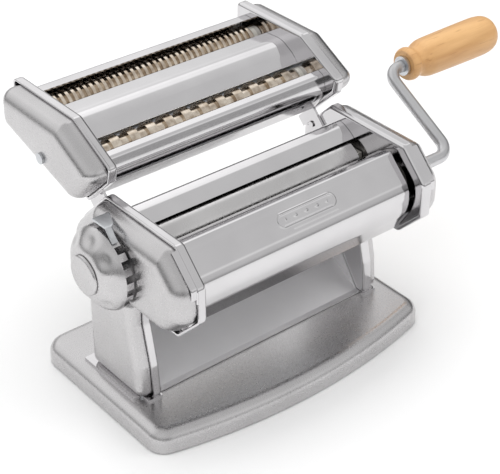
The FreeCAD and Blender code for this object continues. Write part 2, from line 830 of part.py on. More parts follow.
def make_adjustable_roller():
    """Rear roller, its gear, and the two bearing blocks that carry it to and fro."""
    half = size("roller_half")
    radius = size("roller_radius")
    journal = size("free_journal")
    left_end = size("frame_inner") + 3.5
    right_end = size("gear_start") + size("gear_width")
    back = size("drive_back") + size("roller_spacing")
    height = size("roller_height")
    stations = [(-left_end, 0.0), (right_end, 0.0), (right_end, journal), (half, journal), (half, radius),
                (-half, radius), (-half, journal), (-left_end, journal)]
    keep(turned("adjustable_roller", stations, back, height), "adjustable_roller")
    gear = involute_gear("driven", 18, size("roller_spacing"), size("gear_start"), size("gear_width"),
                         journal, (back, height), math.pi + math.pi / 18)
    keep(gear, "driven_gear")
    blocks = []
    for side, sign in (("left", -1), ("right", 1)):
        name = f"{side}_bearing"
        body = new_body(name)
        sketch = body_sketch(body, "YZ_Plane", sign * (half + 0.6))
        draw_lines(sketch, slider_outline(0.0, 0.0), name)
        pad(body, sketch, 6.0, backwards=sign < 0)
        hole = body_sketch(body, "YZ_Plane", sign * (half - 1.0))
        draw_circle(hole, (back, height), journal + size("run_gap"))
        pocket(body, hole, 12.0, backwards=sign > 0)
        blocks.append(body)
    keep(group("roller_bearings", blocks), "roller_bearings")


# ---------------------------------------------------------------- setting knob

def make_knob():
    """Dished setting knob with a notched rim, its cap, shaft, spring, bush, index pin and pointer."""
    back = size("drive_back") + size("roller_spacing")
    height = size("roller_height")
    rim = size("knob_rim")
    face = size("knob_inner_face")
    hub = face - size("hub_depth")
    shaft = size("knob_shaft_radius")
    stations = [
        (face, rim), (face - 4.8, rim), (face - 7.9, 24.3), (hub + 1.9, 17.2), (hub, 12.5),
        (hub, 6.3), (face - 2.6, 6.3), (face - 2.6, shaft + 0.1), (face - 1.0, shaft + 0.1),
        (face - 1.0, 7.5), (hub + 1.6, 7.5), (hub + 1.6, 11.9), (hub + 3.2, 16.4),
        (face - 6.7, 23.0), (face - 4.2, rim - 1.6), (face, rim - 1.6),
    ]
    dish = turned("knob", stations, back, height)
    notch = block("knob_notch", (face - size("notch_depth"), -size("notch_width") / 2, 20.0),
                  (face + 1.0, size("notch_width") / 2, 30.0))
    doc.recompute()
    notches = []
    count = int(SIZES["knob_notches"])
    for index in range(count):
        spin = Rotation(Vector(1, 0, 0), 360 * index / count)
        turn = Placement(Vector(0, number(back), number(height)), spin)
        copy = doc.addObject("Part::Feature", f"knob_notch_{index}")
        copy.Shape = notch.Shape.copy()
        copy.Placement = turn.multiply(notch.Placement)
        notches.append(copy)
    doc.recompute()
    keep(cut("knob", dish, notches), "setting_knob")
    cap = [(hub + 1.4, 0.0), (hub + 1.4, 6.2), (hub, 6.2), (hub, 12.2), (hub - 1.2, 12.2),
           (hub - 2.0, 11.2), (hub - 2.0, 0.0)]
    keep(turned("knob_cap", cap, back, height), "knob_cap")
    inner_end = -(size("frame_inner") + 4.5)
    spindle = [(inner_end, 0.0), (inner_end, 8.0), (inner_end - 3.0, 8.0), (inner_end - 3.0, shaft),
               (hub + 3.0, shaft), (hub + 3.0, 5.9), (hub + 2.0, 5.9), (hub + 2.0, 0.0)]
    keep(turned("knob_shaft", spindle, back, height), "knob_shaft")
    wire = 0.4
    coil = Part.makeHelix(1.0, 2.2, 5.0)
    section = Part.Wire(Part.Circle(Vector(5.0, 0, 0), Vector(0, 1, 0), wire).toShape())
    spring = doc.addObject("Part::Feature", "knob_spring_coil")
    spring.Shape = Part.Wire(coil).makePipeShell([section], True, True)
    spring.Placement = Placement(Vector(number(hub) + 3.45, number(back), number(height)),
                                 Rotation(Vector(0, 1, 0), 90))
    keep(spring, "knob_spring")
    bush_end = -(size("cover_face") - 0.6)
    bush = ring("knob_bush", bush_end, bush_end + 5.0, shaft + size("run_gap"), 6.4, back, height)
    keep(bush, "knob_bush")
    pin = rod("index_pin_rod", -(size("cover_face") + 0.6), 5.0, 1.7, back, height + pin_radius_at())
    doc.recompute()
    keep(pin, "index_pin")


def make_pointer():
    """Index bracket on the left cover: a shelf above the knob with a finger bent down at its rim."""
    shelf = block("pointer_shelf", (-106.5, -14.0, size("pointer_shelf")),
                  (-87.6, 4.0, size("pointer_shelf") + 1.5))
    finger = new_body("pointer_finger")
    sketch = body_sketch(finger, "YZ_Plane", -101.5)
    draw_lines(sketch, [(-14.0, 138.8), (-14.0, 137.3), (-17.2, 132.6), (-20.0, 131.4), (-19.0, 134.5),
                        (-15.4, 138.8)], "pointer_finger")
    pad(finger, sketch, 5.0, backwards=True)
    doc.recompute()
    keep(joined("index_bracket", [shelf, finger]), "index_bracket")


# ---------------------------------------------------------------- crank

def make_crank():
    """Bent crank rod that plugs into the front roller, with a wooden grip that turns on its end."""
    body = new_body("crank_rod")
    reach = SIZES["crank_reach"]
    bend = SIZES["crank_bend"]
    plane = SIZES["crank_plane"]
    start = SIZES["socket_floor"] + 1.0
    shoulder = SIZES["grip_start"] - 2.5
    path = body_sketch(body, "XY_Plane")
    path.addGeometry([
        Part.LineSegment(Vector(start, 0, 0), Vector(plane - bend, 0, 0)),
        Part.ArcOfCircle(Part.Circle(Vector(plane - bend, bend, 0), Vector(0, 0, 1), bend), -math.pi / 2, 0),
        Part.LineSegment(Vector(plane, bend, 0), Vector(plane, reach - bend, 0)),
        Part.ArcOfCircle(
            Part.Circle(Vector(plane + bend, reach - bend, 0), Vector(0, 0, 1), bend), math.pi / 2, math.pi
        ),
        Part.LineSegment(Vector(plane + bend, reach, 0), Vector(shoulder, reach, 0)),
    ], False)
    for first, end, second, begin in ((0, 2, 1, 1), (1, 2, 2, 1), (2, 2, 3, 2), (3, 1, 4, 1)):
        path.addConstraint(Sketcher.Constraint("Tangent", first, end, second, begin))
    tie_point(path, 0, 1, (size("socket_floor") + 1.0, cell("crank_foot", 0.0)))
    tie_point(path, 2, 1, (size("crank_plane"), size("crank_bend")))
    tie_point(path, 2, 2, (size("crank_plane"), size("crank_reach") - size("crank_bend")))
    tie_point(path, 4, 2, (size("grip_start") - 2.5, size("crank_reach")))
    section = body_sketch(body, "YZ_Plane", size("socket_floor") + 1.0)
    draw_circle(section, (cell("crank_mid_across", 0.0), cell("crank_mid_up", 0.0)), size("rod_radius"))
    doc.recompute()
    sweep = body.newObject("PartDesign::AdditivePipe", "crank_sweep")
    sweep.Profile = section
    sweep.Spine = path
    doc.recompute()
    tip = body_sketch(body, "YZ_Plane", size("grip_start") - 3.5)
    draw_circle(tip, (size("crank_reach"), cell("crank_mid_up", 0.0)), size("grip_pin_radius"))
    pad(body, tip, size("grip_end") - size("grip_start") - 6.0)
    body.Placement = Placement(Vector(0, SIZES["drive_back"], SIZES["roller_height"]),
                               Rotation(Vector(1, 0, 0), SIZES["crank_angle"]))
    bind(body, "Placement.Base.y", size("drive_back"))
    bind(body, "Placement.Base.z", size("roller_height"))
    doc.recompute()
    keep(body, "crank_rod")
    lift = math.radians(SIZES["crank_angle"])
    back = size("drive_back") + size("crank_reach") * math.cos(lift)
    height = size("roller_height") + size("crank_reach") * math.sin(lift)
    start = size("grip_start")
    end = size("grip_end")
    pin = size("grip_pin_radius")
    washer = ring("grip_washer", start - 2.4, start - 0.4, pin, 6.5, back, height)
    keep(washer, "grip_washer")
    bore = pin + size("run_gap")
    sleeve = ring("grip_sleeve", start, start + 10.0, bore, 5.0, back, height)
    keep(sleeve, "grip_sleeve")
    stations = [
        (start, 5.0), (start + 10.0, 5.0), (start + 10.0, bore), (end - 8.0, bore), (end - 8.0, 0.0),
        (end, 0.0), (end, 6.5), (end - 1.6, 10.0), (end - 5.0, 12.6), (end - 11.0, 13.3),
        (start + 40.0, 13.1), (start + 22.0, 12.7), (start + 16.5, 12.7), (start + 15.0, 12.1), (start + 13.0, 11.2),
        (start + 10.0, 9.7), (start + 7.5, 9.5), (start + 6.3, 10.4), (start + 4.5, 11.0),
        (start + 1.6, 10.8), (start, 9.6),
    ]
    keep(turned("wood_grip", stations, back, height), "wood_grip")


# ---------------------------------------------------------------- cutter head

def pair_places(back, height, spacing):
    """Centres of a cutter pair: the rear roller's, then the front roller's."""
    slope = math.radians(SIZES["pair_angle"])
    front = (back - spacing * math.cos(slope), height - spacing * math.sin(slope))
    return (back, height), front


def cutter_roller(name, place, radius, core, pitch, ring_width, offset, driven):
    """A ringed cutting roller with its journals, and a crank socket if it is the driven one."""
    half = SIZES["cutter_half"]
    journal = SIZES["cutter_journal"]
    left_end = SIZES["cutter_gear_start"] + SIZES["cutter_gear_width"]
    if driven:
        big = SIZES["driven_journal"]
        right_end = SIZES["cover_face"] - 2.0
        floor = half - 4.0
        bore = SIZES["socket_radius"]
        right = [(floor, 0.0), (floor, bore), (right_end, bore), (right_end, big), (half, big)]
    else:
        right_end = SIZES["frame_inner"] + 3.5
        right = [(right_end, 0.0), (right_end, journal), (half, journal)]
    tip, low = number(radius), number(core)
    step, wide, first = number(pitch), number(ring_width), number(offset)
    count = int((2 * half - first - wide) // step) + 1
    rings = []
    for index in reversed(range(count)):
        start = -half + first + step * index
        rings += [(start + wide, low), (start + wide, tip), (start, tip), (start, low)]
    left = [(-half, low), (-half, journal), (-left_end, journal)]
    stations = [(-left_end, 0.0)] + right + [(half, low)] + rings + left
    corners = [Vector(across, radial, 0) for across, radial in stations]
    section = Part.Face(Part.makePolygon(corners + corners[:1]))
    feature = doc.addObject("Part::Feature", f"{name}_turn")
    feature.Shape = section.revolve(Vector(0, 0, 0), Vector(1, 0, 0), 360)
    feature.Placement = Placement(Vector(0, number(place[0]), number(place[1])), Rotation())
    keep(feature, name)


def make_cutter_pair(kind, back, height, spacing, radius, core, pitch, ring_width):
    """Two meshing ringed rollers with their gears and bushes."""
    rear, front = pair_places(back, height, spacing)
    driven = "rear" if kind == "wide" else "front"
    places = {"rear": rear, "front": front}
    margin = (pitch - ring_width * 2) / 2
    bushes = []
    for which, place in places.items():
        offset = margin if which == "rear" else margin + pitch / 2
        name = f"{kind}_cutter_{which}"
        cutter_roller(name, place, radius, core, pitch, ring_width, offset, which == driven)
        phase = math.radians(SIZES["pair_angle"])
        if which == "rear":
            phase += math.pi + math.pi / 12
        gear_width = size("cutter_gear_width")
        gear = involute_gear(f"{kind}_{which}", 12, spacing, -size("cutter_gear_start") - gear_width,
                             gear_width, size("cutter_journal"), place, phase)
        keep(gear, f"{kind}_{which}_gear")
        for side, sign in (("left", -1), ("right", 1)):
            journal = size("driven_journal") if which == driven and sign > 0 else size("cutter_journal")
            low, high = mirrored_pair(size("cutter_half") + 0.6, size("frame_inner") + 2.5, sign)
            bush = f"{name}_{side}_bush"
            bushes.append(ring(bush, low, high, journal + size("run_gap"), size("cutter_bush"), *place))
    return bushes


def cutter_places():
    """The four cutter axes."""
    fine = pair_places(size("fine_back"), size("fine_height"), size("fine_spacing"))
    wide = pair_places(size("wide_back"), size("wide_height"), size("wide_spacing"))
    return fine + wide


def make_cutter_frame(side, sign):
    """Pressed end frame of the cutter head, flanged outwards."""
    name = f"cutter_{side}_frame"
    body = new_body(name)
    sketch = body_sketch(body, "YZ_Plane", sign * size("frame_inner"))
    draw_lines(sketch, CUTTER_OUTLINE, name)
    tray = pad(body, sketch, size("flange_depth"), backwards=sign < 0)
    cornered = round_edges(body, tray, size("frame_corner"), runs_along("x"))
    bent = round_edges(body, cornered, size("frame_bend"), lies_at_side(size("frame_inner")))
    rim = number(size("frame_inner") + size("flange_depth"))
    shell(body, bent, size("frame_wall"), lambda face: abs(abs(face.CenterOfMass.x) - rim) < 1e-3)
    holes = body_sketch(body, "YZ_Plane", sign * (size("frame_inner") - 1.0))
    for place in cutter_places():
        draw_circle(holes, place, size("cutter_bush"))
    for place in rod_places("cutter", 2):
        draw_circle(holes, place, size("tie_end_radius") + 0.1)
    pocket(body, holes, size("frame_wall") + 2.0, backwards=sign > 0)
    keep(body, name)


def make_cutter_head():
    """The lift-off head: frames, covers, sheets, cutting rollers, strippers, hooks and screws."""
    fine = (size("fine_back"), size("fine_height"), size("fine_spacing"), size("fine_radius"),
            size("fine_core"), size("fine_pitch"), size("fine_ring"))
    wide = (size("wide_back"), size("wide_height"), size("wide_spacing"), size("wide_radius"),
            size("wide_core"), size("wide_pitch"), size("wide_ring"))
    bushes = make_cutter_pair("fine", *fine) + make_cutter_pair("wide", *wide)
    keep(group("cutter_bushes", bushes), "cutter_bushes")
    fine_driven = pair_places(*fine[:3])[1]
    wide_driven = pair_places(*wide[:3])[0]
    socket = size("driven_journal") + 0.5
    socket_holes = [(back, height, socket) for back, height in (fine_driven, wide_driven)]
    screw_place = (size("cover_screw_back"), size("cover_screw_height"))
    screw_hole = (screw_place[0], screw_place[1], 2.1)
    for side, sign in (("left", -1), ("right", 1)):
        make_cutter_frame(side, sign)
        holes = [screw_hole] + (socket_holes if sign > 0 else [])
        domed_cover(f"cutter_{side}_cover", CUTTER_OUTLINE, sign, size("cover_face"), size("cover_inset"),
                    size("cutter_corner"), size("cutter_round"), holes)
    half = size("sheet_half")
    wall = size("sheet_wall")
    keep(bent_sheet("cutter_rear_sheet", CUTTER_REAR_PATH, wall, half), "cutter_rear_sheet")
    keep(bent_sheet("cutter_mid_sheet", CUTTER_MID_PATH, -wall, half), "cutter_mid_sheet")
    front = bent_sheet("cutter_front_sheet", CUTTER_FRONT_PATH, -wall, half)
    lip = bent_sheet("cutter_front_lip", CUTTER_LIP_PATH, -wall, half - 2.4)
    keep(joined("cutter_front_sheet", [front, lip]), "cutter_front_sheet")
    make_tie_rods("cutter", 2)
    screws = []
    for side, sign in (("left", -1), ("right", 1)):
        low, high = mirrored_pair(size("cover_face"), size("cover_face") + 1.4, sign)
        head = rod(f"cover_screw_head_{side}", low, high - low, 3.4, *screw_place)
        low, high = mirrored_pair(size("cover_face") - 6.0, size("cover_face"), sign)
        shank = rod(f"cover_screw_shank_{side}", low, high - low, 2.0, *screw_place)
        doc.recompute()
        screws.append(joined(f"cover_screw_{side}", [head, shank]))
    keep(group("cutter_cover_screws", screws), "cutter_cover_screws")
    make_strippers()
    make_hooks()


def make_strippers():
    """A plain strip under each cutting roller, just clear of its rings, to lift the dough out."""
    fine = pair_places(size("fine_back"), size("fine_height"), size("fine_spacing"))
    wide = pair_places(size("wide_back"), size("wide_height"), size("wide_spacing"))
    for kind, places, radius in (("fine", fine, "fine_radius"), ("wide", wide, "wide_radius")):
        for which, place, lean in (("rear", places[0], -1), ("front", places[1], 1)):
            back = place[0] + lean * size(radius) * 0.55
            top = place[1] - size(radius) * 0.95
            comb = block(f"{kind}_{which}_comb", (-size("sheet_half"), back - 0.4, top - 6.5),
                         (size("sheet_half"), back + 0.4, top))
            doc.recompute()
            keep(comb, f"{kind}_{which}_comb")


def make_hooks():
    """Slotted hooks under the head that slide over studs on the side frames."""
    along = Vector(0, math.sqrt(0.5), -math.sqrt(0.5))
    out = Vector(0, math.sqrt(0.5), math.sqrt(0.5))
    middle = Vector(0, 27.0, 120.5)
    hooks = []
    studs = []
    for side, sign in (("left", -1), ("right", 1)):
        outer = sign * (SIZES["frame_inner"] - 0.3)
        stud_low, stud_high = mirrored_pair(size("frame_inner") - 3.0, size("frame_inner"), sign)
        studs.append(rod(f"hook_stud_{side}", stud_low, stud_high - stud_low, 2.0, middle.y, middle.z))
        corners = [(-9.0, -5.0), (-9.0, 9.5), (9.0, 9.5), (9.0, 2.3), (-2.3, 2.3), (-2.3, -2.3), (9.0, -2.3),
                   (9.0, -5.0)]
        points = [middle + along * run + out * rise for run, rise in corners]
        hook = new_body(f"hook_{side}")
        sketch = body_sketch(hook, "YZ_Plane", outer)
        draw_lines(sketch, [(point.y, point.z) for point in points], f"hook_{side}")
        pad(hook, sketch, 1.7, backwards=sign > 0)
        hooks.append(hook)
    doc.recompute()
    keep(group("hook_studs", studs), "hook_studs")
    keep(group("cutter_hooks", hooks), "cutter_hooks")


def check_and_export():
    """Stops on any failed feature or bad solid, then writes one file for each piece."""
    for obj in doc.Objects:
        if "Invalid" in obj.State or "Error" in obj.State:
            raise RuntimeError(f"{obj.Label} failed: {obj.State}")
    for piece in nodes:
        shape = piece.Shape
        if shape.isNull() or not shape.isValid() or not shape.Solids:
            raise RuntimeError(f"{piece.Label} is not a valid solid")
    os.makedirs("parts", exist_ok=True)
    for piece in nodes:
        piece.Shape.exportStep(f"parts/{piece.Label}.step")
        print(piece.Label, len(piece.Shape.Solids), round(piece.Shape.Volume, 1))


driving = Page("Sizes")
for alias, value in SIZES.items():
    driving.add(alias, value)
doc.recompute()
make_base_plate()
make_feet()
make_frames_and_covers()
make_body_sheets()
make_tie_rods("body", 3)
make_screws()
make_drive_roller()
make_adjustable_roller()
make_knob()
make_pointer()
make_crank()
make_cutter_head()
check_and_export()
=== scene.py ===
import json
import math

import bmesh
import bpy
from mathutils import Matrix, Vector


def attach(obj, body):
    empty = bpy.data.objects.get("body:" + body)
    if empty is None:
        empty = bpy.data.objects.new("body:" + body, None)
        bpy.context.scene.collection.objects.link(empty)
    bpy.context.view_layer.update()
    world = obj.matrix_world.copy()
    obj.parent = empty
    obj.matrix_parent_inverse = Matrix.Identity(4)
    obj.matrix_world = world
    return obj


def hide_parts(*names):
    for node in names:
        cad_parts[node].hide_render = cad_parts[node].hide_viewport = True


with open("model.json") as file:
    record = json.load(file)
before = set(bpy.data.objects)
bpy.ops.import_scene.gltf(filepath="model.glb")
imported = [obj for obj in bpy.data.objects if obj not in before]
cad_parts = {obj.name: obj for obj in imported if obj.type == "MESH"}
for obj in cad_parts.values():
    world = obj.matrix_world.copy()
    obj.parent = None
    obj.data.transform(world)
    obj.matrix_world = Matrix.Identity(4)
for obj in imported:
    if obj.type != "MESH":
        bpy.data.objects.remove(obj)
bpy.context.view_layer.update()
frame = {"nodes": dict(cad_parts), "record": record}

# A chromed and satin-steel pasta roller machine. The helpers below work in millimetres and the meshes
# are in metres. X runs along the rollers to the crank, Y to the back, Z up.

MM = 0.001
SHARP = math.radians(34)
SHARP_ON_SHEET = math.radians(50)
SHARP_ON_TURNED = math.radians(40)
BODY_OUTLINE = [(-52.5, 139.0), (-71.5, 120.0), (-71.5, 99.0), (-54.7, 82.2), (20.2, 82.2), (37.0, 99.0),
                (37.0, 115.0), (13.0, 139.0)]
CUTTER_OUTLINE = [(42.0, 176.5), (2.1, 155.7), (31.5, 127.0), (106.0, 148.8), (106.0, 176.5)]
ROLLER_HEIGHT = 108.0
DRIVE_BACK = -39.0
FREE_BACK = -5.7
SHEET_HALF = 80.8
EMBLEM_STEP = 0.42
COVER_START = 84.0
COVER_FACE = 99.9
COVER_SETBACK = 1.8
BEAD_RADIUS = 0.85
HORIZON_LEVEL = 0.1
CAMERA_PLACE = (-0.4654, -0.579, 0.5744)
CAMERA_DIRECTION = (0.52645, 0.64595, -0.55280)
CAMERA_LENS = 105.55
CRANK_THROW = 68.0
CRANK_ANGLE = math.radians(29.4)
GRIP_BACK = DRIVE_BACK + CRANK_THROW * math.cos(CRANK_ANGLE)
GRIP_HEIGHT = ROLLER_HEIGHT + CRANK_THROW * math.sin(CRANK_ANGLE)


# ---------------------------------------------------------------- mesh helpers

def piece(name, points, faces, body, slot, replaced=(), sharp=SHARP):
    """A finished mesh piece from points in millimetres: it rides on a body and takes the material of a record
    slot.
    """
    mesh = bpy.data.meshes.new(name)
    mesh.from_pydata([Vector(point) * MM for point in points], [], faces)
    work = bmesh.new()
    work.from_mesh(mesh)
    bmesh.ops.remove_doubles(work, verts=work.verts, dist=1e-7)
    bmesh.ops.recalc_face_normals(work, faces=work.faces)
    work.to_mesh(mesh)
    work.free()
    mesh.shade_smooth()
    mesh.set_sharp_from_angle(angle=sharp)
    obj = bpy.data.objects.new(name, mesh)
    bpy.context.scene.collection.objects.link(obj)
    mesh.materials.append(SLOT_MATERIALS[slot])
    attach(obj, body)
    if replaced:
        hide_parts(*replaced)
    return obj


def inset(outline, distance):
    """A closed outline moved inwards by a distance."""
    count = len(outline)
    area = sum(outline[i - 1][0] * outline[i][1] - outline[i][0] * outline[i - 1][1] for i in range(count))
    side = 1.0 if area > 0 else -1.0
    moved = []
    for i in range(count):
        here = Vector(outline[i])
        before = (here - Vector(outline[i - 1])).normalized()
        after = (Vector(outline[(i + 1) % count]) - here).normalized()
        normal = Vector((-before.y, before.x)) * side
        middle = normal + Vector((-after.y, after.x)) * side
        moved.append(tuple(here + middle * (distance / middle.dot(normal))))
    return moved


def rounded(outline, radii, steps=10, closed=True):
    """The outline with each corner turned into an arc; one radius for all, or a list of radii."""
    count = len(outline)
    if not isinstance(radii, (list, tuple)):
        radii = [radii] * count
    smooth = []
    for i in range(count):
        here = Vector(outline[i])
        if not closed and i in (0, count - 1):
            smooth.append(tuple(here))
            continue
        before = Vector(outline[i - 1]) - here
        after = Vector(outline[(i + 1) % count]) - here
        half_turn = (math.pi - before.angle(after)) / 2
        cut = min(radii[i] * math.tan(half_turn), before.length * 0.499, after.length * 0.499)
        reach = cut / math.tan(half_turn)
        before.normalize()
        after.normalize()
        centre = here + (before + after).normalized() * math.hypot(cut, reach)
        first = here + before * cut - centre
        last = here + after * cut - centre
        sweep = first.angle(last)
        spin = 1.0 if first.x * last.y > first.y * last.x else -1.0
        for step in range(steps + 1):
            angle = spin * sweep * step / steps
            smooth.append((centre.x + first.x * math.cos(angle) - first.y * math.sin(angle),
                           centre.y + first.x * math.sin(angle) + first.y * math.cos(angle)))
    return smooth


def smooth_line(points, steps):
    """A smooth curve through points, for profiles that swell and narrow."""
    ends = [points[0], *points, points[-1]]
    line = []
    for i in range(1, len(ends) - 2):
        before, start, end, after = (Vector(ends[i + k]) for k in (-1, 0, 1, 2))
        for step in range(steps):
            t = step / steps
            line.append(tuple(0.5 * (2 * start + (end - before) * t
                                     + (2 * before - 5 * start + 4 * end - after) * t ** 2
                                     + (3 * start - before - 3 * end + after) * t ** 3)))
    line.append(tuple(points[-1]))
    return line


def bridge(rings, caps=True, wrap=False):
    """Faces that join rings of equal length, with a cap on the first and last ring if asked."""
    count = len(rings[0])
    faces = []
    for row in range(len(rings) if wrap else len(rings) - 1):
        low = row * count
        high = ((row + 1) % len(rings)) * count
        for column in range(count):
            across = (column + 1) % count
            faces.append((low + column, low + across, high + across, high + column))
    if caps and not wrap:
        faces.append(tuple(range(count)))
        faces.append(tuple(range(len(rings) * count - count, len(rings) * count)))
    return faces


def pressing(outline, radii, start, face, edge, hole=None):
    """A deep-drawn shell, open at its start: straight walls, a soft shoulder and a nearly flat face."""
    wall = 1.0
    lip = 0.3
    sign = 1.0 if face > start else -1.0

    def ring(x, distance):
        corners = [max(radius - distance, 0.4) for radius in radii]
        return [(x, y, z) for y, z in rounded(inset(outline, distance), corners)]

    def shoulder(radius, distance, at):
        for step in range(11):
            angle = math.pi / 2 * step / 10
            yield ring(at - sign * radius * (1 - math.sin(angle)), distance + radius * (1 - math.cos(angle)))

    outside = [ring(start + sign * lip, 0.0)] + list(shoulder(edge, 0.0, face))
    inside = [ring(start + sign * lip, wall)] + list(shoulder(edge - wall, wall, face - sign * wall))
    if hole:
        back, height, radius = hole
        for rings, at in ((outside, face), (inside, face - sign * wall)):
            rim = []
            for _, y, z in rings[-1]:
                away = Vector((y - back, z - height)).normalized() * radius
                rim.append((at, back + away.x, height + away.y))
            rings.append(rim)
    rings = list(reversed(inside)) + [ring(start, wall - lip), ring(start, lip)] + outside
    return [point for one in rings for point in one], bridge(rings, caps=not hole, wrap=bool(hole))


def bent_sheet(path, radii, wall, columns=(-SHEET_HALF, SHEET_HALF), relief=None):
    """A sheet bent along a side-view path, with its wall to the path's right, or left if negative."""
    line = rounded(path, radii, 10, closed=False)
    if relief:
        fine = []
        for start, end in zip(line, line[1:]):
            length = (Vector(end) - Vector(start)).length
            parts = max(1, int(length / EMBLEM_STEP)) if relief(None, start) else 1
            fine += [tuple(Vector(start).lerp(Vector(end), part / parts)) for part in range(parts)]
        line = fine + [line[-1]]
    normals = []
    for i in range(len(line)):
        along = (Vector(line[min(i + 1, len(line) - 1)]) - Vector(line[max(i - 1, 0)])).normalized()
        normals.append(Vector((-along.y, along.x)) * (-1.0 if wall > 0 else 1.0))
    rings = []
    for x in columns:
        outer = []
        for place, normal in zip(line, normals):
            rise = relief(x, place) if relief else 0.0
            outer.append((x, place[0] - normal.x * rise, place[1] - normal.y * rise))
        inner = [(x, place[0] + normal.x * abs(wall), place[1] + normal.y * abs(wall))
                 for place, normal in zip(line, normals)]
        rings.append(outer + inner[::-1])
    return [point for one in rings for point in one], bridge(rings)


def strip(line, spans, wall):
    """A flat strip along a side-view line, whose low and high X may change from point to point."""
    rings = []
    for i, (y, z) in enumerate(line):
        along = (Vector(line[min(i + 1, len(line) - 1)]) - Vector(line[max(i - 1, 0)])).normalized()
        normal = Vector((-along.y, along.x)) * wall
        low, high = spans[i]
        edge = abs(wall) * 0.3
        section = [(low, 0.3), (low + edge, 0.0), (high - edge, 0.0), (high, 0.3), (high, 0.7),
                   (high - edge, 1.0), (low + edge, 1.0), (low, 0.7)]
        rings.append([(x, y + normal.x * depth, z + normal.y * depth) for x, depth in section])
    return [point for one in rings for point in one], bridge(rings)


def tube(line, radius, steps=20):
    """A round bead or rod along a line of 3-D points."""
    rings = []
    side = None
    for i, here in enumerate(line):
        here = Vector(here)
        along = (Vector(line[min(i + 1, len(line) - 1)]) - Vector(line[max(i - 1, 0)])).normalized()
        if side is None:
            side = along.cross(Vector((1, 0, 0)) if abs(along.x) < 0.9 else Vector((0, 0, 1)))
        side = (side - along * side.dot(along)).normalized()
        other = along.cross(side)
        angles = [2 * math.pi * step / steps for step in range(steps)]
        rings.append([tuple(here + (side * math.cos(a) + other * math.sin(a)) * radius) for a in angles])
    return [point for one in rings for point in one], bridge(rings)


def lathe(profile, back, height, steps=128):
    """A piece turned about an X axis from (x, radius) stations."""
    angles = [2 * math.pi * step / steps for step in range(steps)]
    rings = [[(x, back + radius * math.cos(a), height + radius * math.sin(a)) for a in angles]
             for x, radius in profile]
    return [point for one in rings for point in one], bridge(rings)


# ---------------------------------------------------------------- materials

def node_material(name):
    """A new material with its node tree and shader."""
    material = bpy.data.materials.new(name)
    material.use_nodes = True
    return material, material.node_tree, material.node_tree.nodes["Principled BSDF"]


def noise(tree, scale, detail=3.0, stretch=(1.0, 1.0, 1.0), rough=0.5):
    """Noise in object space, stretched along the axes; returns its value output."""
    place = tree.nodes.new("ShaderNodeTexCoord")
    mapping = tree.nodes.new("ShaderNodeMapping")
    mapping.inputs["Scale"].default_value = stretch
    texture = tree.nodes.new("ShaderNodeTexNoise")
    texture.inputs["Scale"].default_value = scale
    texture.inputs["Detail"].default_value = detail
    texture.inputs["Roughness"].default_value = rough
    tree.links.new(place.outputs["Object"], mapping.inputs["Vector"])
    tree.links.new(mapping.outputs["Vector"], texture.inputs["Vector"])
    return texture.outputs["Fac"]


def spread(tree, value, low, high, start=0.3, end=0.7):
    """Maps a texture's value onto a range."""
    node = tree.nodes.new("ShaderNodeMapRange")
    node.inputs["From Min"].default_value = start
    node.inputs["From Max"].default_value = end
    node.inputs["To Min"].default_value = low
    node.inputs["To Max"].default_value = high
    tree.links.new(value, node.inputs["Value"])
    return node.outputs["Result"]


def tinted(tree, value, first, second, start=0.35, end=0.65):
    """A two-colour ramp over a texture's value."""
    ramp = tree.nodes.new("ShaderNodeValToRGB")
    for element, place, colour in zip(ramp.color_ramp.elements, (start, end), (first, second)):
        element.position = place
        element.color = (*colour, 1.0)
    tree.links.new(value, ramp.inputs["Fac"])
    return ramp.outputs["Color"]


def bump(tree, value, strength, distance, under=None):
    """Surface relief from a texture's value, on top of another relief if there is one."""
    node = tree.nodes.new("ShaderNodeBump")
    node.inputs["Strength"].default_value = strength
    node.inputs["Distance"].default_value = distance
    tree.links.new(value, node.inputs["Height"])
    if under:
        tree.links.new(under, node.inputs["Normal"])
    return node.outputs["Normal"]


def metal(name, dark, light, rough, grain, stretch=(1, 1, 1), relief=0.05, cloud=35.0, wave=0.0):
    """Bare metal: cloudy tint, roughness and relief from a fine grain, and a pressed sheet's waviness."""
    material, tree, shader = node_material(name)
    shader.inputs["Metallic"].default_value = 1.0
    tint = tinted(tree, noise(tree, cloud, 2.0), dark, light, 0.3, 0.7)
    tree.links.new(tint, shader.inputs["Base Color"])
    fine = noise(tree, grain, 4.0, stretch)
    tree.links.new(spread(tree, fine, *rough), shader.inputs["Roughness"])
    normal = bump(tree, fine, relief, 0.00005)
    if wave:
        normal = bump(tree, noise(tree, 17.0, 1.0), wave, 0.0006, normal)
    tree.links.new(normal, shader.inputs["Normal"])
    return material


def make_wood():
    """Varnished beech: long pale grain along the grip, fine darker flecks and a thin clear coat."""
    material, tree, shader = node_material("beech")
    grain = noise(tree, 90.0, 5.0, (0.10, 1.0, 1.0), 0.6)
    flecks = noise(tree, 520.0, 2.0, (0.10, 1.0, 1.0))
    mix = tree.nodes.new("ShaderNodeMix")
    mix.data_type = "RGBA"
    tree.links.new(spread(tree, flecks, 0.0, 0.55, 0.60, 0.72), mix.inputs["Factor"])
    tree.links.new(tinted(tree, grain, (0.56, 0.29, 0.105), (0.76, 0.455, 0.20), 0.32, 0.68), mix.inputs["A"])
    mix.inputs["B"].default_value = (0.42, 0.19, 0.06, 1.0)
    tree.links.new(mix.outputs["Result"], shader.inputs["Base Color"])
    tree.links.new(spread(tree, grain, 0.38, 0.48), shader.inputs["Roughness"])
    shader.inputs["Coat Weight"].default_value = 0.2
    shader.inputs["Coat Roughness"].default_value = 0.3
    tree.links.new(bump(tree, flecks, 0.15, 0.0001), shader.inputs["Normal"])
    return material


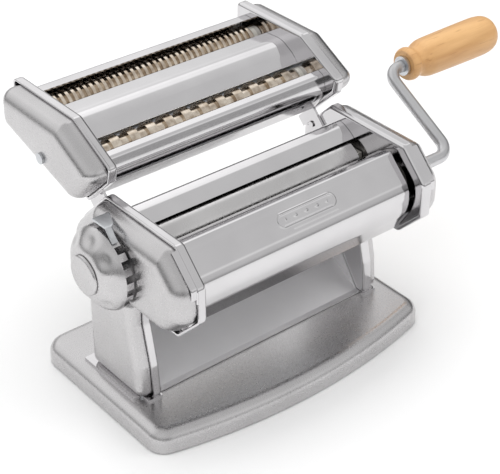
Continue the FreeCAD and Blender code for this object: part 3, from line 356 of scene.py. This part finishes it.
def moulded(name, first, second, rough):
    """A moulded plastic or rubber with a faint mottle."""
    material, tree, shader = node_material(name)
    mottle = noise(tree, 220.0)
    tree.links.new(tinted(tree, mottle, first, second), shader.inputs["Base Color"])
    tree.links.new(spread(tree, mottle, *rough), shader.inputs["Roughness"])
    tree.links.new(bump(tree, mottle, 0.08, 0.0001), shader.inputs["Normal"])
    return material


SLOT_MATERIALS = {
    "satin_steel": metal("satin_steel", (0.54, 0.53, 0.535), (0.585, 0.575, 0.58), (0.26, 0.31), 1100.0,
                         relief=0.015, wave=0.06),
    "chrome_steel": metal("chrome_steel", (0.64, 0.63, 0.64), (0.69, 0.68, 0.69), (0.07, 0.12), 300.0,
                          relief=0.02, wave=0.12),
    "ground_steel": metal("ground_steel", (0.58, 0.57, 0.57), (0.66, 0.65, 0.65), (0.14, 0.28), 900.0,
                          stretch=(1.0, 0.05, 0.05), relief=0.10),
    "nickel_cutter": metal("nickel_cutter", (0.44, 0.36, 0.28), (0.78, 0.70, 0.60), (0.18, 0.28), 600.0,
                           relief=0.08, cloud=190.0),
    "zinc_steel": metal("zinc_steel", (0.55, 0.56, 0.58), (0.66, 0.68, 0.70), (0.28, 0.40), 420.0,
                        relief=0.08, cloud=120.0),
    "gear_steel": metal("gear_steel", (0.34, 0.34, 0.35), (0.46, 0.46, 0.47), (0.30, 0.45), 500.0),
    "bearing_plastic": moulded("bearing_plastic", (0.60, 0.58, 0.53), (0.70, 0.68, 0.63), (0.45, 0.6)),
    "crank_steel": metal("crank_steel", (0.58, 0.58, 0.59), (0.64, 0.64, 0.65), (0.34, 0.42), 300.0,
                         relief=0.015, cloud=40.0),
    # Painted light: this brighter copy of the steel stands in for light on the shaded chute.
    "chute_painted_light_steel": metal("chute_painted_light_steel", (0.91, 0.90, 0.91), (0.95, 0.94, 0.95), (0.48, 0.56), 900.0),
    "sleeve_steel": metal("sleeve_steel", (0.50, 0.50, 0.50), (0.60, 0.60, 0.60), (0.25, 0.35), 700.0),
    "beech": make_wood(),
    "foot_rubber": moulded("foot_rubber", (0.018, 0.018, 0.018), (0.035, 0.035, 0.035), (0.7, 0.85)),
}

# Nodes that are drawn with another finish than the rest of their slot. The hooks and studs get polished
# chrome; the chute gets painted light, a brighter copy of the steel that stands in for light it lacks in the
# shade under the body.
FINISHES = {"chute_panel": "chute_painted_light_steel", "cutter_hooks": "chrome_steel", "hook_studs": "chrome_steel"}


def dress_nodes():
    """Every CAD node gets the material of its record slot, or its own finish."""
    for entry in frame["record"]["subparts"]:
        mesh = frame["nodes"][entry["node"]].data
        material = SLOT_MATERIALS[FINISHES.get(entry["node"], entry["material_slot"])]
        if not mesh.materials:
            mesh.materials.append(material)
        for index in range(len(mesh.materials)):
            mesh.materials[index] = material


# ---------------------------------------------------------------- covers and rims

def make_covers():
    """The four deep-drawn end covers, with softer shoulders than the solids beneath them."""
    soft = [7.0, 14.0, 14.0, 17.0, 17.0, 14.0, 14.0, 7.0]
    for side, sign, hole in (("left", -1, (FREE_BACK, ROLLER_HEIGHT, 6.5)),
                             ("right", 1, (DRIVE_BACK, ROLLER_HEIGHT, 7.5))):
        points, faces = pressing(inset(BODY_OUTLINE, COVER_SETBACK), soft, sign * COVER_START,
                                 sign * COVER_FACE, 11.0, hole)
        piece(f"{side}_end_pressing", points, faces, "body", "satin_steel", [f"{side}_end_cover"])
        points, faces = pressing(inset(CUTTER_OUTLINE, COVER_SETBACK), [6.0, 7.0, 8.5, 9.0, 8.0],
                                 sign * COVER_START, sign * COVER_FACE, 9.5)
        piece(f"{side}_cutter_pressing", points, faces, "cutter_head", "satin_steel",
              [f"cutter_{side}_cover"])


def make_rims():
    """The rolled edges of the body's and the head's flanges, and the wide tab on the front bevel."""
    over = rounded([(-71.5, 112.0), (-71.5, 120.0), (-52.5, 139.0), (13.0, 139.0), (37.0, 115.0),
                    (37.0, 106.0)], 4.0, 8, closed=False)
    head = rounded([(31.5, 127.0), (9.5, 148.5), (7.5, 158.5), (42.0, 176.5), (106.0, 176.5), (106.0, 160.0)],
                   3.0, 8, closed=False)
    tab = rounded([(-53.8, 137.4), (-70.8, 120.4), (-70.8, 114.5)], 4.0, 8, closed=False)
    back, height = 56.0, 152.0
    tab_ends = (86.4, 91.0)
    for side, sign in (("left", -1), ("right", 1)):
        # The beads lie just inside the flanges' outlines, so that they stay in the solid's box.
        line = [(sign * 87.0, y * 0.985 - 0.1, z - 0.75) for y, z in over]
        piece(f"{side}_frame_bead", *tube(line, BEAD_RADIUS), "body", "chrome_steel")
        line = [(sign * 86.6, back + (y - back) * 0.982, height + (z - height) * 0.965) for y, z in head]
        piece(f"{side}_cutter_bead", *tube(line, BEAD_RADIUS), "cutter_head", "chrome_steel")
        wide = [tuple(sorted(sign * end for end in tab_ends))] * len(tab)
        piece(f"{side}_frame_tab", *strip(tab, wide, 1.2), "body", "chrome_steel")


# ---------------------------------------------------------------- sheets

def badge(x, place):
    """Rise of the plain emblem on the front bevel: a double oval round a row of lozenges, and a bar below.

    Without an x it says instead if the place lies on the bevel, where the mesh has to be fine.
    """
    top = Vector((-48.5, 129.0))
    along = Vector((-59.6, 118.3)) - top
    down = (Vector(place) - top).dot(along.normalized())
    lowest = 118.0
    if x is None:
        return -0.3 < down < along.length - 1.0 and place[1] > lowest
    if not 0.4 < down < along.length - 0.6 or place[1] < lowest:
        return 0.0
    middle = 5.0
    oval_down = 5.6
    pitch = 8.0

    def ridge(distance, width, height):
        return height * max(0.0, 1.0 - (distance / width) ** 2)

    across = max(abs(x - middle) - 17.5, 0.0)
    ring = math.hypot(across, down - oval_down)
    lozenge = abs((x - middle + 4.5 * pitch) % pitch - pitch / 2) / 2.6 + abs(down - oval_down) / 1.5
    inside = max(0.0, 1.0 - lozenge) * 0.6 if abs(x - middle) < 2 * pitch else 0.0
    bar = ridge(down - 12.2, 0.55, 0.28) if abs(x - 9.0) < 17.0 else 0.0
    return max(ridge(ring - 4.1, 0.55, 0.42), ridge(ring - 2.9, 0.45, 0.2), inside, bar)


def make_sheets():
    """The bent covers of the body and of the cutter head, with real bend radii."""
    front = [(-31.0, 126.0), (-34.5, 128.8), (-39.5, 131.5), (-45.0, 132.8), (-48.5, 129.0), (-59.6, 118.3),
             (-62.2, 113.5), (-62.8, 106.0), (-60.2, 97.0), (-51.0, 81.5)]
    reach = SHEET_HALF - 2.6
    columns = [-reach, -reach + 0.4, -40.0, -24.0]
    columns += [-20.0 + EMBLEM_STEP * step for step in range(125)]
    columns += [36.0, 50.0, reach - 0.4, reach]
    points, faces = bent_sheet(front, [0, 14, 10, 2.6, 4.0, 7.0, 11.0, 26.0, 30.0, 0], -0.8, columns, badge)
    piece("front_cover_sheet", points, faces, "body", "chrome_steel", ["front_cover"], SHARP_ON_SHEET)
    rear = [(-10.0, 126.0), (-6.5, 128.8), (-1.5, 131.5), (4.0, 132.8), (7.5, 129.0), (23.0, 113.8),
            (26.0, 109.0), (26.6, 104.0), (23.0, 95.0), (13.0, 82.5)]
    points, faces = bent_sheet(rear, [0, 14, 10, 2.6, 4.0, 7.0, 8.0, 16.0, 20.0, 0], 0.8)
    piece("rear_cover_sheet", points, faces, "body", "chrome_steel", ["rear_cover"], SHARP_ON_SHEET)
    for name, path, radii, wall in (
        ("rear", [(90.0, 170.4), (97.5, 170.4), (101.0, 166.5), (101.0, 152.0)], [0, 3.5, 3.5, 0], 0.8),
        ("mid", [(74.5, 166.0), (62.0, 166.8), (57.5, 165.6), (49.0, 161.2), (44.6, 156.4)],
         [0, 26.0, 16.0, 12.0, 0], -0.8),
        ("front", [(24.6, 159.0), (20.0, 157.4), (17.6, 150.0), (18.4, 143.2), (27.4, 131.4)],
         [0, 3.2, 14.0, 16.0, 0], -0.8),
    ):
        points, faces = bent_sheet(path, radii, wall)
        piece(f"cutter_{name}_bend", points, faces, "cutter_head", "chrome_steel", [f"cutter_{name}_sheet"],
              SHARP_ON_SHEET)


# ---------------------------------------------------------------- knob, crank and grip

def make_knob():
    """The dished setting knob: notched rim and eight finger dimples round its flat hub."""
    crown = smooth_line([(-116.0, 12.0), (-115.9, 13.6), (-114.9, 16.6), (-112.9, 19.8), (-110.3, 22.6),
                         (-107.8, 24.5), (-105.9, 25.4)], 5)
    outer = [(-116.0, 6.4)] + crown + [(-105.5, 25.5), (-101.0, 25.5)]
    inner = [(-101.0, 23.9), (-105.5, 23.9), (-106.6, 23.0), (-111.0, 18.8), (-114.0, 14.0), (-114.8, 6.4)]
    rows = outer + inner
    steps = 288
    notches = 18
    per_notch = steps // notches
    # Notches stand at 10 degrees and every 20 degrees on; phases count the steps since the last one began.
    phases = [(step - per_notch // 2 + per_notch // 4) % per_notch for step in range(steps)]
    half_dimple = math.pi / 8
    dimple_reach = 20.2
    points = []
    for x, radius in rows:
        for step in range(steps):
            angle = 2 * math.pi * step / steps
            nearest = (angle + half_dimple) % (2 * half_dimple) - half_dimple
            dimple = math.exp(-((radius - dimple_reach) / 3.2) ** 2 - (nearest * dimple_reach / 4.4) ** 2)
            depth = 1.5 * dimple if (x, radius) in outer else 0.0
            points.append((x + depth, FREE_BACK + radius * math.cos(angle),
                           ROLLER_HEIGHT + radius * math.sin(angle)))
    rim = len(outer) - 2
    faces = []
    for row in range(len(rows)):
        below = (row + 1) % len(rows)
        for step in range(steps):
            turn = (step + 1) % steps
            if rim <= row <= rim + 2 and phases[step] < per_notch // 2:
                continue
            faces.append((row * steps + step, row * steps + turn, below * steps + turn, below * steps + step))
    for step in range(steps):
        turn = (step + 1) % steps
        corners = [(rim + k) * steps for k in range(4)]
        if phases[step] < per_notch // 2:
            faces.append((corners[0] + step, corners[0] + turn, corners[3] + turn, corners[3] + step))
        if phases[step] in (0, per_notch // 2):
            faces.append(tuple(corner + step for corner in corners))
    piece("knob_dish", points, faces, "knob", "satin_steel", ["setting_knob"])
    cap = [(-114.7, 6.1), (-116.1, 6.1), (-116.1, 12.0), (-116.3, 12.2), (-117.1, 12.2), (-117.7, 11.7),
           (-118.0, 10.9), (-118.0, 0.01)]
    points, faces = lathe(cap, FREE_BACK, ROLLER_HEIGHT)
    piece("knob_hub", points, faces, "knob", "satin_steel", ["knob_cap"], SHARP_ON_TURNED)


def make_pointer():
    """The index bracket: a plated strip with rolled bends, narrower where it leans to the knob's rim."""
    line = rounded([(-1.0, 138.7), (-13.6, 138.7), (-17.6, 133.6), (-20.0, 131.6)], [0, 2.5, 3.0, 0], 6,
                   closed=False)
    spans = []
    for y, _ in line:
        narrow = min(max((-y - 9.0) / 5.0, 0.0), 1.0)
        spans.append((-106.2 + 0.4 * narrow, -94.5 - 7.4 * narrow))
    piece("index_strip", *strip(line, spans, 1.3), "body", "zinc_steel", ["index_bracket"])


def make_grip():
    """The turned beech grip with its collar and rounded end."""
    swell = smooth_line([(152.0, 9.7), (153.4, 10.7), (155.6, 11.1), (157.6, 10.6), (159.4, 9.5),
                         (162.0, 9.7), (165.0, 11.2), (168.5, 12.4), (174.0, 12.8), (192.0, 13.1),
                         (214.0, 13.3), (221.0, 13.1), (226.0, 12.3), (229.4, 10.4), (230.8, 7.8)], 6)
    profile = [(152.0, 5.1)] + swell + [(231.0, 6.5), (230.9, 0.01)]
    points, faces = lathe(profile, GRIP_BACK, GRIP_HEIGHT)
    piece("grip_turning", points, faces, "grip", "beech", ["wood_grip"], SHARP_ON_TURNED)


def make_screws():
    """The domed cross-slotted screw in each cutter cover."""
    for side, sign in (("left", -1), ("right", 1)):
        count = 48
        back, height = 59.0, 147.4
        head, tip = 3.4, 0.01
        rows = [tip + 3.35 * step / 16 for step in range(17)]
        points = []
        for radius in rows + [head, head, tip]:
            row = len(points) // count
            for step in range(count):
                angle = 2 * math.pi * step / count
                across, up = radius * math.cos(angle), radius * math.sin(angle)
                slot = min(abs(across), abs(up)) < 0.42 and radius < 2.1
                rise = 1.4 - 0.5 * (radius / head) ** 3 - (0.55 if slot else 0.0)
                x = 100.0 + (rise if row < len(rows) else (0.6, 0.02, 0.02)[row - len(rows)])
                points.append((sign * x, back + across, height + up))
        rings = len(points) // count
        grid = [points[row * count:(row + 1) * count] for row in range(rings)]
        piece(f"{side}_screw_head", points, bridge(grid), "cutter_head", "zinc_steel")


# ---------------------------------------------------------------- stage

def softbox(name, at, aim, size, power):
    """A rectangular area light that faces a point and doesn't mirror in the metal."""
    lamp = bpy.data.lights.new(name, "AREA")
    lamp.shape = "RECTANGLE"
    lamp.size, lamp.size_y = size
    lamp.energy = power
    obj = bpy.data.objects.new(name, lamp)
    bpy.context.scene.collection.objects.link(obj)
    obj.location = at
    obj.visible_glossy = False
    obj.rotation_euler = (Vector(aim) - Vector(at)).to_track_quat("-Z", "Y").to_euler()


def glow(tree, towards, start, end, amount, under):
    """Adds a soft bright or dark zone round a direction to the surround's level, or starts that level."""
    place = tree.nodes.new("ShaderNodeTexCoord")
    facing = tree.nodes.new("ShaderNodeVectorMath")
    facing.operation = "DOT_PRODUCT"
    facing.inputs[1].default_value = towards
    tree.links.new(place.outputs["Generated"], facing.inputs[0])
    zone = tree.nodes.new("ShaderNodeMapRange")
    zone.interpolation_type = "SMOOTHSTEP"
    zone.inputs["From Min"].default_value = start
    zone.inputs["From Max"].default_value = end
    zone.inputs["To Max"].default_value = amount
    tree.links.new(facing.outputs["Value"], zone.inputs["Value"])
    if under is None:
        zone.inputs["To Min"].default_value = HORIZON_LEVEL
        return zone.outputs["Result"]
    total = tree.nodes.new("ShaderNodeMath")
    total.operation = "ADD"
    tree.links.new(zone.outputs["Result"], total.inputs[0])
    tree.links.new(under, total.inputs[1])
    return total.outputs["Value"]


def make_stage():
    """White floor, a studio surround with soft zones, three soft lights, and the camera."""
    scene = bpy.context.scene
    scene.view_settings.view_transform = "Standard"
    reach = 6.0
    mesh = bpy.data.meshes.new("floor")
    mesh.from_pydata([(-reach, -reach, 0), (reach, -reach, 0), (reach, reach, 0), (-reach, reach, 0)], [],
                     [(0, 1, 2, 3)])
    floor = bpy.data.objects.new("floor", mesh)
    scene.collection.objects.link(floor)
    paper, _, shader = node_material("floor_paper")
    shader.inputs["Base Color"].default_value = (0.93, 0.93, 0.93, 1.0)
    shader.inputs["Roughness"].default_value = 0.9
    shader.inputs["Specular IOR Level"].default_value = 0.1
    mesh.materials.append(paper)

    world = bpy.data.worlds.new("studio")
    scene.world = world
    world.use_nodes = True
    tree = world.node_tree
    level = None
    for towards, start, end, amount in (
        ((0.0, 0.0, 1.0), 0.02, 0.50, 0.72),
        ((0.28, 0.80, 0.53), 0.80, 0.99, 0.42),
        ((0.53, 0.30, 0.79), 0.955, 0.995, 0.60),
        ((-0.53, 0.65, 0.50), 0.75, 0.98, 0.34),
        ((-0.75, -0.45, 0.48), 0.80, 0.98, 0.12),
        ((0.85, 0.30, 0.42), 0.82, 0.99, -0.30),
        ((0.35, -0.93, 0.05), 0.74, 0.97, 0.34),
    ):
        level = glow(tree, Vector(towards).normalized(), start, end, amount, level)
    tree.nodes["Background"].inputs["Color"].default_value = (1.0, 1.0, 1.0, 1.0)
    tree.links.new(level, tree.nodes["Background"].inputs["Strength"])

    softbox("key_overhead", (-0.15, 0.25, 1.9), (0.0, 0.0, 0.05), (1.8, 1.6), 16.0)
    softbox("fill_left", (-1.5, -0.5, 0.8), (0.0, 0.0, 0.08), (0.8, 0.9), 4.0)
    softbox("fill_right", (1.3, -1.1, 1.2), (0.0, 0.0, 0.08), (1.0, 1.0), 6.0)

    data = bpy.data.cameras.new("camera")
    data.sensor_width = 36.0
    data.lens = CAMERA_LENS
    camera = bpy.data.objects.new("camera", data)
    scene.collection.objects.link(camera)
    camera.location = CAMERA_PLACE
    camera.rotation_euler = Vector(CAMERA_DIRECTION).to_track_quat("-Z", "Y").to_euler()
    scene.camera = camera


dress_nodes()
make_covers()
make_rims()
make_sheets()
make_knob()
make_pointer()
make_grip()
make_screws()
make_stage()
